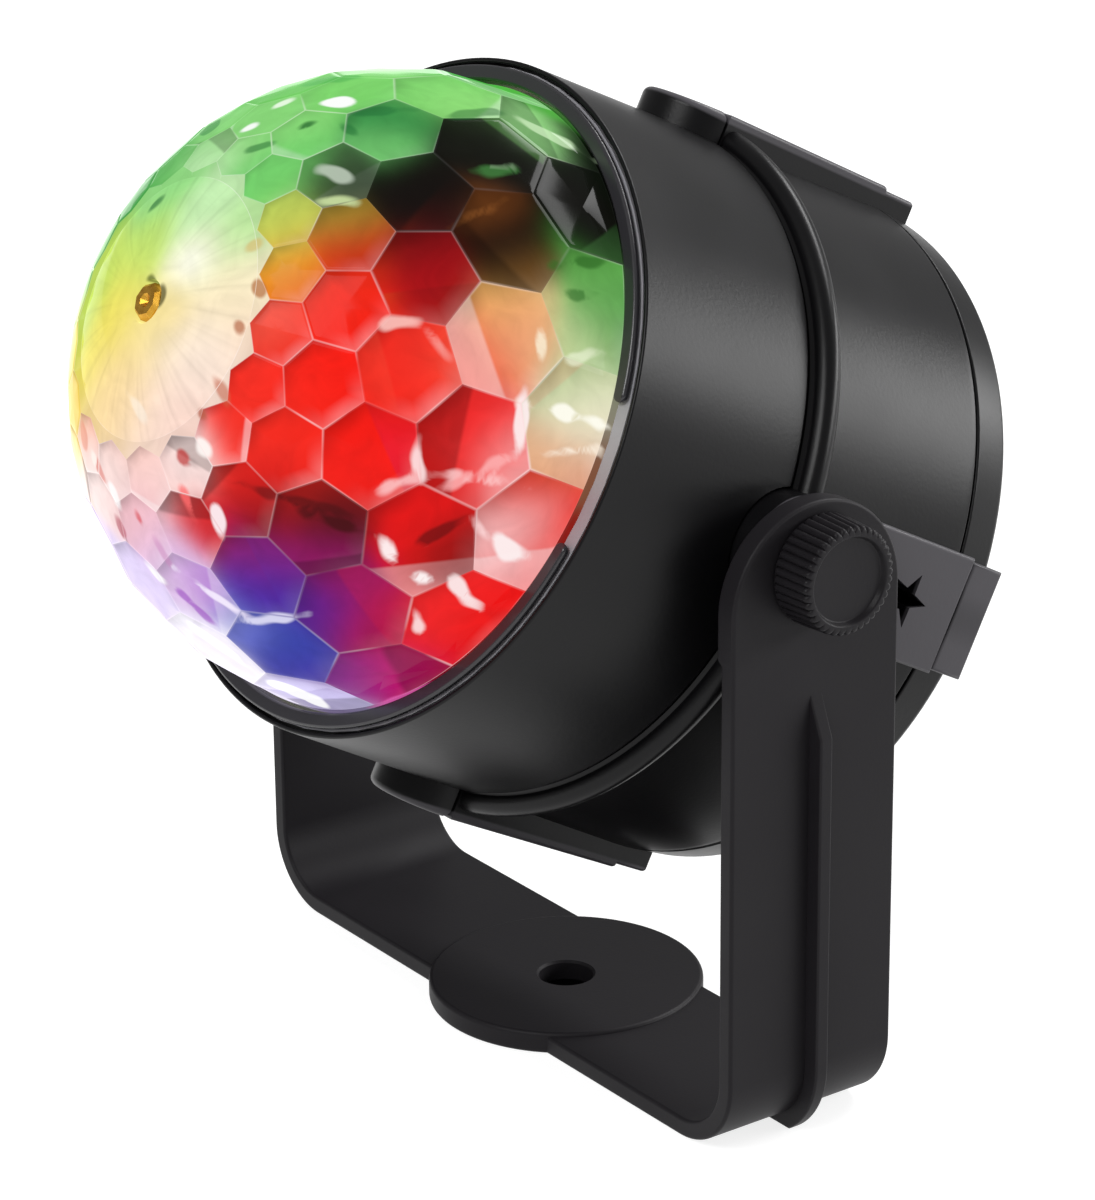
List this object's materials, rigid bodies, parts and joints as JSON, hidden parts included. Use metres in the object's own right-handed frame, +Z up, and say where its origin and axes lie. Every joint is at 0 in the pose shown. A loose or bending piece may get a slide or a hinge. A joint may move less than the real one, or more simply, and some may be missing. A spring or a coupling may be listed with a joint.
{
  "type": "led disco ball light",
  "caption": "Tabletop party light: a faceted clear dome turns on a round tilting lamp head that two thumb knobs clamp in a U bracket with a base disc.",
  "frame": {"origin": "middle of the light's footprint, side to side and front to back, on the surface that the base disc stands on", "axes": "+Z up; X along the tilt axis, with the star-shaped sound hole on the +X side; the dome looks towards -Y and 27.9 degrees up"},
  "size_m": [0.1118, 0.1146, 0.1261],
  "materials": {
    "bracket_plastic": "satin black moulded plastic",
    "housing_plastic": "satin black moulded plastic",
    "dome_plastic": "clear moulded plastic that carries the lamps' colours",
    "ring_plastic": "glossy black",
    "knob_plastic": "satin black, ribbed",
    "inner_plastic": "dull black",
    "milky_plastic": "milky, smooth",
    "steel": "bright zinc plated",
    "brass": "turned",
    "aluminium": "plain turned",
    "rubber": "dull black",
    "circuit_board": "green solder mask",
    "transformer_tape": "yellow tape",
    "component_black": "moulded black",
    "lamp_red": "glowing lamp chip",
    "lamp_green": "glowing lamp chip",
    "lamp_blue": "glowing lamp chip"
  },
  "bodies": {
    "bracket": {"bracket": "bracket_plastic"},
    "head": {"front_shell": "housing_plastic", "rear_shell": "housing_plastic", "rear_cover": "housing_plastic", "retaining_ring": "ring_plastic", "lamp_plate": "inner_plastic", "led_board": "circuit_board", "led_red": "lamp_red", "led_green": "lamp_green", "led_blue": "lamp_blue", "led_lens_red": "milky_plastic", "led_lens_green": "milky_plastic", "led_lens_blue": "milky_plastic", "heat_sink": "aluminium", "heat_sink_screw_1": "steel", "heat_sink_screw_2": "steel", "heat_sink_screw_3": "steel", "motor_gearbox": "steel", "motor_can": "steel", "motor_screw_1": "steel", "motor_screw_2": "steel", "driver_board": "circuit_board", "driver_screw_1": "steel", "driver_screw_2": "steel", "driver_screw_3": "steel", "transformer": "transformer_tape", "capacitor": "component_black", "controller_chip": "component_black", "button_switch": "component_black", "cord_bushing": "rubber", "microphone": "aluminium", "housing_screw_1": "steel", "housing_screw_2": "steel", "housing_screw_3": "steel", "housing_screw_4": "steel", "cover_screw_1": "steel", "cover_screw_2": "steel", "cover_screw_3": "steel", "cover_screw_4": "steel", "pivot_insert_right": "brass", "pivot_insert_left": "brass"},
    "dome": {"dome_shell": "dome_plastic", "dome_screw": "steel", "drive_post": "milky_plastic", "motor_shaft": "steel"},
    "button": {"mode_button": "knob_plastic", "switch_plunger": "milky_plastic"},
    "right_washer": {"washer_right": "steel"},
    "right_knob": {"knob_right": "knob_plastic", "stud_right": "steel"},
    "left_washer": {"washer_left": "steel"},
    "left_knob": {"knob_left": "knob_plastic", "stud_left": "steel"}
  },
  "joints": [
    {"name": "head_tilt", "type": "hinge", "parent": "bracket", "child": "head", "pos_m": [0, 0.00665, 0.0738], "axis": [-1, 0, 0], "range_deg": [-117, 152]},
    {"name": "dome_spin", "type": "hinge", "parent": "head", "child": "dome", "pos_m": [0, -0.01822, 0.08697], "axis": [0, -0.8838, 0.4679], "continuous": true},
    {"name": "button_press", "type": "slide", "parent": "head", "child": "button", "axis": [0, -0.8838, 0.4679], "range_m": [0, 0.0008], "stiffness_N_per_m": 300, "springref_m": -0.001},
    {"name": "right_knob_travel", "type": "slide", "parent": "head", "child": "right_washer", "axis": [1, 0, 0], "range_m": [0, 0.0016]},
    {"name": "right_knob_turn", "type": "hinge", "parent": "right_washer", "child": "right_knob", "pos_m": [0.053, 0.00665, 0.0738], "axis": [1, 0, 0], "range_deg": [0, 720]},
    {"name": "left_knob_travel", "type": "slide", "parent": "head", "child": "left_washer", "axis": [-1, 0, 0], "range_m": [0, 0.0016]},
    {"name": "left_knob_turn", "type": "hinge", "parent": "left_washer", "child": "left_knob", "pos_m": [-0.053, 0.00665, 0.0738], "axis": [-1, 0, 0], "range_deg": [0, 720]}
  ],
  "couplings": [
    {"joint": "right_knob_turn", "follows": "right_knob_travel", "rad_per_m": 7854},
    {"joint": "left_knob_turn", "follows": "left_knob_travel", "rad_per_m": 7854}
  ]
}
